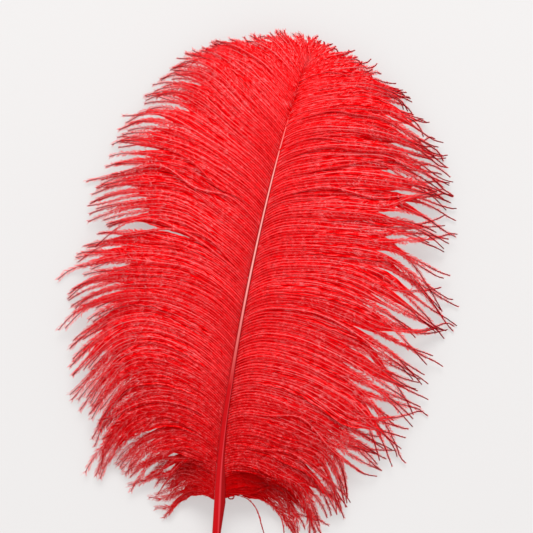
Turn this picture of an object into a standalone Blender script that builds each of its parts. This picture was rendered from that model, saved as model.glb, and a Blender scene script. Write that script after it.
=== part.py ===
"""Ostrich plume lying dorsal side up, arched over the surface from its quill end to its curled tip.

Metres. +Y runs from the cut end of the quill to the tip, +X is the right vane's side and +Z is up. The
origin lies on the surface, under the middle of the plume. The whole feather is one sheet of quads, four
wide along the shaft and fringed with tapering locks on both sides, which is then given its thickness.
"""

import math
import random

import bmesh
import bpy
import numpy as np

# Shaft
BUTT = (0.0092, -0.1872, 0.0017)  # middle of the quill's cut end
BARE_QUILL = 0.085  # along the curve, from the cut end to the first barbs
BARBED_SHAFT = 0.290  # along the curve, from the first barbs to the shaft's tip
QUILL_WIDTH = 0.0052
SHAFT_WIDTHS = ((-0.30, 0.62), (-0.24, 1.0), (0.0, 0.92), (0.35, 0.58), (0.75, 0.30), (1.0, 0.16))
SHAFT_PATH = (  # share of the barbed shaft, heading right of +Y and slope up, both in degrees
    (-0.30, -7.0, 12.0),
    (0.00, -6.5, 12.0),
    (0.10, -3.5, 12.0),
    (0.20, -0.5, 11.5),
    (0.40, 1.4, 10.0),
    (0.58, 3.3, 5.0),
    (0.72, 5.0, -6.0),
    (0.86, 8.0, -28.0),
    (1.00, 11.0, -58.0),
)
PATH_STEPS = 400

# Barbs: where each is rooted on the shaft, its length seen from above, and its angles to the shaft in degrees
# at the shares ANGLES_AT of its length, from the root to the tip
ANGLES_AT = (0.0, 0.15, 0.4, 0.7, 1.0)
LEFT_BARBS = (
    (0.00, 0.038, (62, 80, 110, 140, 160)),
    (0.05, 0.056, (56, 66, 96, 146, 164)),
    (0.14, 0.106, (46, 62, 90, 140, 152)),
    (0.26, 0.124, (46, 59, 82, 124, 142)),
    (0.45, 0.119, (49, 62, 74, 104, 122)),
    (0.62, 0.106, (51, 64, 69, 82, 104)),
    (0.78, 0.081, (50, 60, 58, 62, 82)),
    (0.90, 0.054, (50, 60, 57, 78, 96)),
    (0.96, 0.040, (34, 46, 54, 70, 84)),
    (1.00, 0.013, (6, 8, 12, 20, 30)),
)
RIGHT_BARBS = (
    (0.00, 0.068, (58, 78, 122, 143, 153)),
    (0.05, 0.082, (58, 86, 116, 138, 148)),
    (0.14, 0.100, (54, 92, 114, 130, 142)),
    (0.26, 0.120, (50, 90, 104, 118, 128)),
    (0.45, 0.129, (38, 76, 94, 104, 109)),
    (0.62, 0.113, (40, 68, 72, 84, 102)),
    (0.78, 0.096, (40, 62, 74, 87, 96)),
    (0.90, 0.065, (38, 52, 66, 78, 90)),
    (0.96, 0.040, (30, 40, 52, 62, 70)),
    (1.00, 0.018, (8, 8, 8, 8, 8)),
)
BARBS = {-1: LEFT_BARBS, 1: RIGHT_BARBS}
BARB_STEPS = 60
CREST = 0.006  # how far a vane rises above its roots before it droops to the surface
DROOP_POWER = 1.8

# Locks
LOCKS_A_SIDE = 34
TIP_CROWDING = 1.25  # over 1 sets the locks closer towards the tip, where they fan out
ROWS_IN_WEB = (0.0, 0.07, 0.18, 0.32, 0.46, 0.58)  # shares of the barbs' length where the locks are joined
ROWS_IN_TIPS = (0.69, 0.80, 0.91, 1.0)
TIP_NARROWING = 0.88  # share of its width that a lock loses by its tip
NARROWING_POWER = 1.15  # over 1 keeps a lock full before it narrows
REACH_SPREAD = 0.07  # how much longer or shorter than its barbs a lock may be
SWAY = 0.28  # how far a lock's tip may lean towards a neighbour, in lock widths
LOWEST_TIP = 0.0009  # height of the middle of a lock's tip that rests on the surface
LIFTED_TIP = 0.006  # how much higher the tips of the locks between those may stay
RIDGE, FURROW = 0.0050, 0.0014  # thickness along a lock's middle and between two locks
TIP_RIDGE, TIP_FURROW = 0.0016, 0.0008
ROOT_FULLNESS = 0.25  # a lock's thickness at its root, over its thickness from FULL_FROM of its length on
FULL_FROM = 0.30
FAN_FULLNESS = 0.45  # the last locks' thickness, over that of the locks below THIN_FROM of the barbed shaft
THIN_FROM = 0.80
SHAFT_SECTION = (0.42, 0.86, 1.0)  # thickness over width at the shaft's side, shoulder and crest
QUILL_ROWS = 7

DYED_RED = (0.72, 0.010, 0.016, 1.0)

SHAFT_HALF = len(SHAFT_SECTION) - 1  # columns from the shaft's crest to its side
ROWS = ROWS_IN_WEB + ROWS_IN_TIPS
COLUMNS_A_SIDE = SHAFT_HALF + len(ROWS) - 1


def shaft_curve():
    """Distances along the shaft from the first barbs, its points, headings and slopes."""
    keys = np.array(SHAFT_PATH)
    along = np.linspace(-BARE_QUILL, BARBED_SHAFT, PATH_STEPS)
    heading, slope = (np.radians(np.interp(along / BARBED_SHAFT, keys[:, 0], keys[:, i])) for i in (1, 2))
    way = np.stack([np.sin(heading) * np.cos(slope), np.cos(heading) * np.cos(slope), np.sin(slope)], 1)
    steps = (way[1:] + way[:-1]) / 2 * (along[1] - along[0])
    points = np.array(BUTT) + np.vstack([np.zeros(3), np.cumsum(steps, axis=0)])
    return along, points, heading


ALONG, SHAFT_POINTS, HEADINGS = shaft_curve()


def shaft_at(share):
    """The shaft's centre, heading and width at a share of its barbed length."""
    distance = share * BARBED_SHAFT
    point = np.array([np.interp(distance, ALONG, SHAFT_POINTS[:, i]) for i in range(3)])
    shares, widths = zip(*SHAFT_WIDTHS)
    return point, np.interp(distance, ALONG, HEADINGS), QUILL_WIDTH * np.interp(share, shares, widths)


def shaft_point(share, column):
    """A point across the shaft, column 0 being its crest."""
    centre, heading, width = shaft_at(share)
    aside = column / SHAFT_HALF * width / 2
    return centre + aside * np.array([math.cos(heading), -math.sin(heading), 0.0])


def barb_point(side, share, v, tip_height):
    """The point at share v of the length of the barb rooted at this share of the shaft."""
    keys = BARBS[side]
    roots = [k[0] for k in keys]
    length = np.interp(share, roots, [k[1] for k in keys])
    angles = [np.interp(share, roots, [k[2][i] for k in keys]) for i in range(len(ANGLES_AT))]
    root, (centre, heading, _) = shaft_point(share, side * SHAFT_HALF), shaft_at(share)
    run = (np.arange(BARB_STEPS) + 0.5) / BARB_STEPS * v
    turned = heading + side * np.radians(np.interp(run, ANGLES_AT, angles))
    x, y = root[0] + length * v * np.sin(turned).mean(), root[1] + length * v * np.cos(turned).mean()
    v = min(v, 1.0)
    fallen = v**DROOP_POWER
    crest = CREST * math.sin(math.pi * v**0.7) * (1 - v)
    return np.array([x, y, centre[2] * (1 - fallen) + tip_height * fallen + crest])


def row_share(row):
    """The share of the barbed shaft at a row of the sheet, of which each lock has two."""
    if row < 0:
        return row / QUILL_ROWS * BARE_QUILL / BARBED_SHAFT
    return 1 - (1 - row / (2 * LOCKS_A_SIDE)) ** TIP_CROWDING


def lock_habits(seed):
    """Each side's list of locks, each with its reach, its sway and the height of its tip."""
    draw = random.Random(seed)
    return {
        side: [
            (
                1 + draw.uniform(-REACH_SPREAD, REACH_SPREAD),
                draw.uniform(-SWAY, SWAY),
                LOWEST_TIP + draw.uniform(0.0, LIFTED_TIP) * (lock % 2),
            )
            for lock in range(LOCKS_A_SIDE)
        ]
        for side in (-1, 1)
    }


def fan_fullness(share):
    """How full the locks rooted at this share of the shaft are: less so in the fan at the tip."""
    return np.interp(share, (THIN_FROM, 1.0), (1.0, FAN_FULLNESS))


def fullness(share, v):
    """How much of its full thickness a lock has at share v of its length."""
    return np.interp(v, (0.0, FULL_FROM), (ROOT_FULLNESS, 1.0)) * fan_fullness(share)


def place_in_lock(side, row, v, lock, habits):
    """The place of a vertex beyond the web, and the sheet's thickness there."""
    reach, sway, tip_height = habits[side][lock]
    middle = 2 * lock + 1
    fan = fan_fullness(row_share(middle))
    out = max(v - ROWS_IN_WEB[-1], 0.0) / (1 - ROWS_IN_WEB[-1])
    half_width = (row - middle) * (1 - TIP_NARROWING * out**NARROWING_POWER)
    share = row_share(min(max(middle + half_width + 2 * sway * fan * out**2, 0), 2 * LOCKS_A_SIDE))
    full, thin = (RIDGE, TIP_RIDGE) if row == middle else (FURROW, TIP_FURROW)
    thickness = np.interp(out, (0, 1), (full * fullness(share, v), thin * fan))
    return barb_point(side, share, v * (1 + (reach - 1) * out), tip_height), thickness


def place_in_web(side, row, v, habits):
    """The place of a vertex where the locks are joined, and the sheet's thickness there."""
    thickness = (RIDGE if row % 2 else FURROW) * fullness(row_share(row), v)
    beside = [habits[side][lock][2] for lock in (row // 2 - 1, row // 2) if 0 <= lock < LOCKS_A_SIDE]
    tip_height = habits[side][row // 2][2] if row % 2 else sum(beside) / len(beside)
    return barb_point(side, row_share(row), v, tip_height), thickness


def sheet():
    """The flat grid that the feather is laid on, with its locks cut apart, and its column and row layers."""
    columns, rows = 2 * COLUMNS_A_SIDE, QUILL_ROWS + 2 * LOCKS_A_SIDE
    bm = bmesh.new()
    bmesh.ops.create_grid(bm, x_segments=columns, y_segments=rows, size=1.0)
    column, row = bm.verts.layers.int.new("column"), bm.verts.layers.int.new("row")
    for v in bm.verts:
        v[column] = round((v.co.x + 1) / 2 * columns) - COLUMNS_A_SIDE
        v[row] = round((v.co.y + 1) / 2 * rows) - QUILL_ROWS
    beside_quill = [
        f
        for f in bm.faces
        if min(v[row] for v in f.verts) < 0 and max(abs(v[column]) for v in f.verts) > SHAFT_HALF
    ]
    bmesh.ops.delete(bm, geom=beside_quill, context="FACES")
    web_end = SHAFT_HALF + len(ROWS_IN_WEB) - 1
    slits = [
        e
        for e in bm.edges
        if e.verts[0][row] == e.verts[1][row]
        and e.verts[0][row] % 2 == 0
        and 0 < e.verts[0][row] < 2 * LOCKS_A_SIDE
        and min(abs(v[column]) for v in e.verts) >= web_end
    ]
    bmesh.ops.split_edges(bm, edges=slits)
    return bm, column, row


def laid_sheet(seed):
    """The sheet in the plume's shape, and its thickness at each vertex."""
    bm, column, row = sheet()
    habits, thick = lock_habits(seed), []
    for v in bm.verts:
        c, r = v[column], v[row]
        side, out = (1 if c > 0 else -1), abs(c) - SHAFT_HALF
        if out <= 0:
            section = SHAFT_SECTION[SHAFT_HALF - abs(c)]
            place, thickness = shaft_point(row_share(r), c), section * shaft_at(row_share(r))[2]
        elif out < len(ROWS_IN_WEB):
            place, thickness = place_in_web(side, r, ROWS[out], habits)
        else:
            lock = min(w[row] for f in v.link_faces for w in f.verts) // 2
            place, thickness = place_in_lock(side, r, ROWS[out], lock, habits)
        v.co = place
        thick.append(thickness)
    return bm, thick


def dyed_material():
    """Soft matt red, for the dyed barbs and shaft alike."""
    material = bpy.data.materials.new("dyed_barbs")
    material.use_nodes = True
    shader = material.node_tree.nodes["Principled BSDF"]
    shader.inputs["Base Color"].default_value = DYED_RED
    shader.inputs["Roughness"].default_value = 0.6
    shader.inputs["Sheen Weight"].default_value = 0.3
    return material


def make_feather():
    """Builds the quill, shaft and both vanes as one solid."""
    bm, thick = laid_sheet(seed=11)
    mesh = bpy.data.meshes.new("feather")
    bm.to_mesh(mesh)
    bm.free()
    feather = bpy.data.objects.new("feather", mesh)
    bpy.context.scene.collection.objects.link(feather)
    group = feather.vertex_groups.new(name="thickness")
    for index, thickness in enumerate(thick):
        group.add([index], thickness / QUILL_WIDTH, "REPLACE")
    solidify = feather.modifiers.new("thickness", "SOLIDIFY")
    solidify.thickness = QUILL_WIDTH
    solidify.offset = 0.0
    solidify.vertex_group = group.name
    mesh.materials.append(dyed_material())
    mesh.shade_smooth()
    return feather


def main():
    """Clears the scene and builds the plume."""
    for old in list(bpy.data.objects):
        bpy.data.objects.remove(old)
    make_feather()


main()
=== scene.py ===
"""Ostrich plume lying dorsal side up: horn shaft, some four hundred barbs and their fringe of barbules.

Metres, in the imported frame: +Y runs from the quill's cut end to the tip, +X is the right vane's side.
"""

import logging
import math
import random
from dataclasses import dataclass
from enum import Enum
from functools import cached_property
from typing import Any

import bmesh
import bpy
import numpy as np
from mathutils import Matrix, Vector


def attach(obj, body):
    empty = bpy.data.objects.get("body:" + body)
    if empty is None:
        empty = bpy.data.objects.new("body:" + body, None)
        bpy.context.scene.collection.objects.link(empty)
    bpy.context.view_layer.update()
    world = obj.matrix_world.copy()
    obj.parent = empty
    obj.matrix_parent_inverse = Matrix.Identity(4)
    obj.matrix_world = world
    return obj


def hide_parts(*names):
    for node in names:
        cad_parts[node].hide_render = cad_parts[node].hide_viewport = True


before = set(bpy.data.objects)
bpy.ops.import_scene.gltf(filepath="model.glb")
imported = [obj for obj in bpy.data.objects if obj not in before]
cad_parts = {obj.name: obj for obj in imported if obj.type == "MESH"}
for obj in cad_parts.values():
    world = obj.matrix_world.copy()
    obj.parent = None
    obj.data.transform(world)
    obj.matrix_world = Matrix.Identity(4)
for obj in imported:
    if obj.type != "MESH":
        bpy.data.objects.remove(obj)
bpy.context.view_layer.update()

BAKE_MAP = "OFBake"
IMAGE_SIDE = 533
LOG = logging.getLogger("plume")

Array = np.ndarray
Colour = tuple[float, float, float, float]
Span = tuple[float, float]
Keys = tuple[Span, ...]
Socket = bpy.types.NodeSocket
BLACK: Colour = (0.0, 0.0, 0.0, 1.0)
WHITE: Colour = (1.0, 1.0, 1.0, 1.0)
SMALLEST = 1e-12  # keeps a division from failing


class Side(Enum):
    """The vane on either side of the shaft, seen from above with the tip away."""

    LEFT = -1
    RIGHT = 1


class Stretch(Enum):
    """The third of a vane that one piece covers, as its first and last share of the barbs."""

    LOWER = (0.0, 1 / 3)
    MIDDLE = (1 / 3, 2 / 3)
    UPPER = (2 / 3, 1.0)


class Part(Enum):
    """Where on a barb's column of the map its rib, barbules and underfluff lie."""

    RIB = (0.02, 0.30)
    BARBULE = (0.36, 0.64)
    FLUFF = (0.70, 0.98)


def smooth_step(low: float, high: float, x: Array) -> Array:
    """Rises from 0 at low to 1 at high, level at both ends."""
    t = np.clip((x - low) / (high - low), 0.0, 1.0)
    return t * t * (3 - 2 * t)


def at_keys(keys: Keys, x: Any) -> Array:
    """The values at x, between keys of a place and the value there."""
    return np.interp(x, *zip(*keys))


def unit(vectors: Array) -> Array:
    """The vectors at length 1."""
    return vectors / np.maximum(np.linalg.norm(vectors, axis=-1, keepdims=True), SMALLEST)


def put_in_scene(name: str, data: bpy.types.ID) -> bpy.types.Object:
    """Adds an object to the scene.

    Args:
        name: The object's name.
        data: Its mesh, light or camera.

    Returns:
        The object.
    """
    thing = bpy.data.objects.new(name, data)
    bpy.context.scene.collection.objects.link(thing)
    return thing


@dataclass(frozen=True)
class ShaftForm:
    """The shaft's line, slope and width, which the solid feather has too."""

    butt: tuple[float, float, float] = (0.0092, -0.1872, 0.0017)
    bare_quill: float = 0.085
    barbed: float = 0.290
    quill_width: float = 0.0052
    widths: Keys = ((-0.30, 0.62), (-0.24, 1.0), (0.0, 0.92), (0.35, 0.58), (0.75, 0.30), (1.0, 0.16))
    path: tuple[tuple[float, float, float], ...] = (
        (-0.30, -7.0, 12.0), (0.00, -6.5, 12.0), (0.10, -3.5, 12.0), (0.20, -0.5, 11.5), (0.40, 1.4, 10.0),
        (0.58, 3.3, 5.0), (0.72, 5.0, -6.0), (0.86, 8.0, -28.0), (1.00, 11.0, -58.0),
    )  # share of the barbed shaft, with its heading and slope there in degrees
    steps: int = 400

    @cached_property
    def curve(self) -> tuple[Array, Array, Array, Array]:
        """Follows the path.

        Returns:
            Distances from the first barbs, and the points, headings and slopes there.
        """
        keys = np.array(self.path)
        along = np.linspace(-self.bare_quill, self.barbed, self.steps)
        heading, slope = (np.radians(np.interp(along / self.barbed, keys[:, 0], keys[:, i])) for i in (1, 2))
        way = np.stack([np.sin(heading) * np.cos(slope), np.cos(heading) * np.cos(slope), np.sin(slope)], 1)
        moves = (way[1:] + way[:-1]) / 2 * (along[1] - along[0])
        points = np.array(self.butt) + np.vstack([np.zeros(3), np.cumsum(moves, axis=0)])
        return along, points, heading, slope

    def at(self, share: Array) -> tuple[Array, Array, Array]:
        """Finds centre, heading and width of the shaft.

        Args:
            share: Shares of the barbed shaft, below 0 on the bare quill.

        Returns:
            The centres, with a last axis of 3, the headings and the widths.
        """
        along, points, heading, _ = self.curve
        distance = np.asarray(share) * self.barbed
        centre = np.stack([np.interp(distance, along, points[:, i]) for i in range(3)], -1)
        width = self.quill_width * at_keys(self.widths, share)
        return centre, np.interp(distance, along, heading), width


@dataclass(frozen=True)
class VaneForm:
    """The sheet that one side's barbs lie in, which the solid feather has too."""

    side: Side
    shaft: ShaftForm
    roots: tuple[tuple[float, float, tuple[float, ...]], ...]  # share of shaft, length, angles at angles_at
    angles_at: tuple[float, ...] = (0.0, 0.15, 0.4, 0.7, 1.0)
    crest: float = 0.006
    crest_power: float = 0.7
    droop_power: float = 1.8
    table_rows: int = 361
    table_steps: int = 260
    furthest: float = 1.3  # last share of a barb's length in the table
    rooted_at: float = 0.36  # how far beside the shaft's middle the barbs are rooted, over its width
    inwards: Span = (0.75, 0.90)  # shares of the shaft over which they come nearer its middle
    cross_over: float = 0.0011  # how far past the middle the last barbs are rooted
    crossing: Span = (0.80, 0.92)  # shares of the shaft over which they pass it

    @cached_property
    def table(self) -> Array:
        """Lays the barbs out flat.

        Returns:
            Offsets in X and Y from a barb's root, over its root's share and the share of its length.
        """
        shares = np.linspace(0, 1, self.table_rows)
        roots, lengths, turns = zip(*self.roots)
        length = np.interp(shares, roots, lengths)
        angles = np.stack([np.interp(shares, roots, turn) for turn in zip(*turns)], 1)
        run = (np.arange(self.table_steps) + 0.5) / self.table_steps * self.furthest
        turn = np.stack([np.interp(run, self.angles_at, a) for a in angles])
        heading = self.shaft.at(shares)[1][:, None] + self.side.value * np.radians(turn)
        step = self.furthest / self.table_steps
        way = np.stack([np.sin(heading), np.cos(heading)], -1) * length[:, None, None] * step
        return np.concatenate([np.zeros((self.table_rows, 1, 2)), np.cumsum(way, axis=1)], axis=1)

    def place(self, share: Array, v: Array, tip_height: Array) -> Array:
        """Finds points on the vane.

        Args:
            share: The root's share of the barbed shaft.
            v: The share of the barb's length.
            tip_height: The height of the barb's tip.

        Returns:
            The points, with a last axis of 3.
        """
        centre, heading, width = self.shaft.at(share)
        row = np.clip(share, 0, 1) * (self.table_rows - 1)
        step = np.clip(v / self.furthest, 0, 1) * self.table_steps
        r = np.minimum(row.astype(int), self.table_rows - 2)
        s = np.minimum(step.astype(int), self.table_steps - 1)
        a, b = (row - r)[..., None], (step - s)[..., None]
        low = self.table[r, s] * (1 - b) + self.table[r, s + 1] * b
        high = self.table[r + 1, s] * (1 - b) + self.table[r + 1, s + 1] * b
        flat = low * (1 - a) + high * a
        aside = self.side.value * self.rooted_at * width * np.interp(share, self.inwards, (1.0, 0.0))
        aside = aside - self.side.value * self.cross_over * smooth_step(*self.crossing, share)
        x = centre[..., 0] + aside * np.cos(heading) + flat[..., 0]
        y = centre[..., 1] - aside * np.sin(heading) + flat[..., 1]
        w = np.clip(v, 0, 1)
        fallen = w**self.droop_power
        rise = self.crest * np.sin(np.pi * w**self.crest_power) * (1 - w)
        return np.stack([x, y, centre[..., 2] * (1 - fallen) + tip_height * fallen + rise], -1)


@dataclass(frozen=True)
class LockHabits:
    """How the locks of the solid feather reach, sway and lift, repeated lock by lock."""

    locks: int = 34
    crowding: float = 1.25
    reach_spread: float = 0.07
    sway_spread: float = 0.28
    lowest_tip: float = 0.0009
    lifted_tip: float = 0.006
    thin_from: float = 0.80
    fan_fullness: float = 0.45
    seed: int = 11

    @cached_property
    def drawn(self) -> dict[Side, Array]:
        """Draws the locks' habits.

        Returns:
            For each side an array of reach, sway and tip height, one row for each lock.
        """
        draw = random.Random(self.seed)
        return {
            side: np.array([
                (
                    1 + draw.uniform(-self.reach_spread, self.reach_spread),
                    draw.uniform(-self.sway_spread, self.sway_spread),
                    self.lowest_tip + draw.uniform(0.0, self.lifted_tip) * (lock % 2),
                )
                for lock in range(self.locks)
            ])
            for side in Side
        }

    def share(self, row: Array) -> Array:
        """The share of the barbed shaft at a row, of which each lock has two."""
        return 1 - (1 - np.clip(row, 0, 2 * self.locks) / (2 * self.locks)) ** self.crowding

    def fan(self, share: Array) -> Array:
        """How full the locks are, less so in the fan at the tip."""
        return np.interp(share, (self.thin_from, 1.0), (1.0, self.fan_fullness))


@dataclass
class Barbs:
    """Barbs as centre lines.

    Attributes:
        points: Centre lines, (barbs, samples, 3).
        apart: How far each barb is from its neighbours on its left and on its right, (barbs, samples, 2).
        fluff_end: Share of its length where each barb's underfluff ends.
        fluff: How wide each barb's underfluff is, over the usual.
        fringe: How long each barb's barbules are, over the usual.
        rib: How thick each barb's rib is, over the usual.
    """

    points: Array
    apart: Array
    fluff_end: Array
    fluff: Array
    fringe: Array
    rib: Array

    def some(self, first: int, last: int) -> "Barbs":
        """The barbs from first up to last."""
        parts = (self.points, self.apart, self.fluff_end, self.fluff, self.fringe, self.rib)
        return Barbs(*(part[first:last] for part in parts))

    @cached_property
    def frames(self) -> tuple[Array, Array, Array]:
        """Sets up axes at every sample.

        Returns:
            Each sample's direction along the barb, to its right and away from its upper face.
        """
        along = unit(np.gradient(self.points, axis=1))
        right = unit(np.cross(along, (0.0, 0.0, 1.0)))
        return along, right, np.cross(right, along)

    @cached_property
    def lengths(self) -> Array:
        """Each barb's length along its curve."""
        return np.linalg.norm(np.diff(self.points, axis=1), axis=2).sum(1)


@dataclass(frozen=True)
class Wisp:
    """One loose, nearly bare barb at the base, apart from the vane."""

    share: float  # where on the barbed shaft it is rooted
    length: float
    angles: tuple[float, ...]  # from the shaft, in degrees, at even steps along it
    tip_height: float = 0.003
    sag_power: float = 1.3

    def line(self, vane: VaneForm, samples: int) -> Array:
        """Runs along it.

        Args:
            vane: The vane whose side it grows on.
            samples: How many points.

        Returns:
            The points, (samples, 3).
        """
        centre, heading, width = vane.shaft.at(np.array(self.share))
        v = np.linspace(0, 1, samples)
        turn = np.radians(np.interp(v, np.linspace(0, 1, len(self.angles)), self.angles))
        turn = heading + vane.side.value * turn
        step = np.stack([np.sin(turn), np.cos(turn)], -1) * self.length / (samples - 1)
        aside = np.array((math.cos(heading), -math.sin(heading)))
        step[0] = vane.side.value * vane.rooted_at * width * aside
        flat = centre[:2] + np.cumsum(step, axis=0)
        height = centre[2] + (self.tip_height - centre[2]) * v**self.sag_power
        return np.concatenate([flat, height[:, None]], axis=1)


@dataclass(frozen=True)
class BarbField:
    """Grows one vane's barbs, gathered in tufts and locks that part towards their tips.

    Shares are of the barbed shaft if they are called roots, and else of a barb's length. A row is half
    the width of one of the solid feather's locks.
    """

    vane: VaneForm
    habits: LockHabits
    wisps: tuple[Wisp, ...]
    barbs: int
    part_from: Span  # shares where the locks part, of the first and of the last to
    fray: float  # how far the tips stray apart, in rows
    fluff_to: Span  # shares where the underfluff ends, from and to
    tightness: Span  # how far a lock's barbs draw together by their tips
    lock_lean: float  # how far the locks' tips lean to a side, in rows
    tuft_lean: float  # and the tufts'
    sunk_fluff: float  # width of the underfluff low on the shaft, over the usual
    wander: float  # of single barbs, in rows
    swerve: float  # of whole locks
    sway: float  # how far the locks keep to the solid ones' sway
    lock_short: float  # by how much whole locks may be shorter
    base_shorter: float  # by how much the lower barbs are
    tip_shorter: float  # and those at the tip
    seed: int = 50
    samples: int = 40
    thickening: float = 1.15  # over 1 where they stand closer towards the base
    tuft_sizes: tuple[int, ...] = (1, 1, 2, 2, 3)
    lock_sizes: tuple[int, ...] = (2, 3, 3, 4, 5, 6)

    uneven: float = 0.5  # how far the barbs keep to the solid locks' reach
    longest: float = 1.08
    short_spread: float = 0.07
    downy_short: float = 0.13  # more of it where they are downy
    outer_short: Span = (0.04, 1.5)  # of a lock's outer barbs, and the power it rises by
    tip_reach: float = 0.97
    tip_evened: float = 0.5  # how far the reach nears tip_reach at the tip
    base_roots: Span = (0.15, 0.35)  # over which base_shorter fades

    tuft_pull: float = 0.3
    tuft_pulls: Span = (0.4, 1.3)
    pull_over: Span = (0.06, 0.6)
    parting_power: float = 1.25
    most_parted: float = 1.3
    loosening: Span = (0.50, 0.70)  # roots over which the locks loosen
    loosened: float = 0.65
    wander_waves: tuple[int, float] = (4, 3.2)  # how many, and the turns of the fastest
    wander_over: Span = (0.02, 0.45)
    downy_wander: float = 1.5
    frays: Span = (0.6, 1.5)  # share from which the tips fray, and by which power
    lean_power: float = 1.6
    swerve_waves: tuple[int, float] = (2, 1.6)
    swerve_over: Span = (0.12, 0.6)
    swoop: float = 0.08  # how strongly the barbs crowd and thin out
    swoop_waves: int = 5
    swoop_pace: Span = (0.25, 0.60)  # radians a row
    swoop_turn: float = 6.0  # radians along a barb, at most
    swoop_over: Span = (0.1, 0.7)

    tip_rise: float = 0.0012
    lift: float = 0.0003
    lift_over: Span = (0.03, 0.6)
    lift_waves: tuple[int, float] = (3, 3.0)
    lock_lift: float = 0.0002
    lock_lift_over: Span = (0.15, 0.8)
    dome: float = 0.0005
    floor_gap: float = 0.0004
    downy_roots: Span = (0.022, 0.11)  # over which the barbs get less loose and downy
    sunk_roots: Span = (0.045, 0.075)  # over which they no longer hang low, under the others
    sunk_depth: float = 0.9
    sunk_power: float = 0.75
    sunk_over: Span = (0.6, 1.0)

    stray_share: float = 0.06
    stray_wander: float = 1.0
    stray_lift: float = 0.0017
    stray_apart: float = 0.0008
    stray_fringe: float = 0.7
    wisp_fringe: float = 0.35
    wisp_rib: float = 0.8
    rib_growth: Keys = ((0.0, 0.35), (0.08, 0.50), (0.25, 1.0))
    rib_sizes: Span = (0.55, 1.1)
    fringe_growth: Keys = ((0.0, 1.0), (0.05, 1.3), (0.20, 1.25), (0.40, 1.0))
    fringe_sizes: Span = (0.8, 1.2)
    fluff_sizes: Span = (0.9, 1.2)
    fluff_ends: Span = (0.85, 1.1)
    sunk_fluff_end: float = 0.85

    tip_roots: Span = (0.84, 0.97)  # over which the barbs come to fan out across the shaft's tip
    tip_spread: float = 7.0  # degrees
    curl: float = 42.0  # degrees that the last bit of a barb there bends aside
    curl_root: float = 0.55  # from which they do
    curl_from: float = 0.88

    @cached_property
    def rng(self) -> np.random.Generator:
        """The source of chance."""
        return np.random.default_rng(self.seed + self.vane.side.value)

    def waves(self, v: Array, count: int, turns: float) -> Array:
        """Makes barbs wander smoothly.

        Args:
            v: Shares of length, (barbs, samples).
            count: How many waves are summed.
            turns: About how many turns the fastest makes.

        Returns:
            Values of about -1 to 1, (barbs, samples).
        """
        total = np.zeros_like(v)
        for k in range(1, count + 1):
            pace = self.rng.uniform(0.6, 1.0, (len(v), 1)) * turns * k / count
            total += np.sin(2 * np.pi * (pace * v + self.rng.random((len(v), 1)))) / k
        return total / 1.4

    def swoops(self, row: Array, v: Array) -> Array:
        """Makes the whole vane's barbs flow aside together.

        Args:
            row: Each barb's row at its root.
            v: Shares of length, (barbs, samples).

        Returns:
            How far aside they flow, in rows, (barbs, samples).
        """
        total = np.zeros_like(v)
        for _ in range(self.swoop_waves):
            across = self.rng.uniform(*self.swoop_pace)
            along = self.rng.uniform(-self.swoop_turn, self.swoop_turn)
            total += np.sin(across * row[:, None] + along * v + self.rng.uniform(0, 2 * np.pi)) / across
        return total * smooth_step(*self.swoop_over, v)

    def bunches(self, row: Array, sizes: tuple[int, ...]) -> tuple[Array, Array]:
        """Gathers neighbouring barbs.

        Args:
            row: Each barb's row at its root.
            sizes: How many barbs a bunch may have, the likelier ones repeated.

        Returns:
            The row of the middle of each barb's bunch, and the bunch's number.
        """
        number = np.repeat(np.arange(len(row)), self.rng.choice(sizes, len(row)))[: len(row)]
        middle = np.bincount(number, row) / np.maximum(np.bincount(number), 1)
        return middle[number], number

    def grow(self) -> Barbs:
        """Grows the barbs of this vane.

        Returns:
            The wisps, and then the barbs from the first to the one at the shaft's tip.
        """
        rng, n = self.rng, self.barbs
        row = 2 * self.habits.locks * ((np.arange(n) + 0.5) / n) ** self.thickening
        root = self.habits.share(row)
        fan = self.habits.fan(root)[:, None]
        reach, sway, tip_height = self.habits.drawn[self.vane.side][(row // 2).astype(int)].T
        tuft_row, tuft = self.bunches(row, self.tuft_sizes)
        lock_row, lock = self.bunches(row, self.lock_sizes)
        stray = rng.random(n) < self.stray_share
        downy = 1 - smooth_step(*self.downy_roots, root)
        loose = self.loosened * smooth_step(*self.loosening, root)
        offset = np.abs(row - lock_row) / 2

        def by_lock(low: float, high: float) -> Array:
            """A value for each barb that its whole lock shares, as a column."""
            return rng.uniform(low, high, n)[lock][:, None]

        # How far each barb reaches, over the solid feather's.
        outer, power = self.outer_short
        short = np.abs(rng.normal(0, 1, n)) * (self.short_spread + self.downy_short * downy)
        reach = (1 + self.uneven * (reach - 1)) * (self.longest - (outer * offset**power + short))
        reach = reach * (1 - by_lock(0.0, self.lock_short)[:, 0] * (1 - loose))
        at_tip = smooth_step(*self.tip_roots, root)
        reach = reach + (self.tip_reach - reach) * self.tip_evened * at_tip
        reach = reach * (1 - self.tip_shorter * at_tip)
        reach = reach * (1 - self.base_shorter * (1 - smooth_step(*self.base_roots, root)))
        v = np.linspace(0, 1, self.samples) * reach[:, None]

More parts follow.
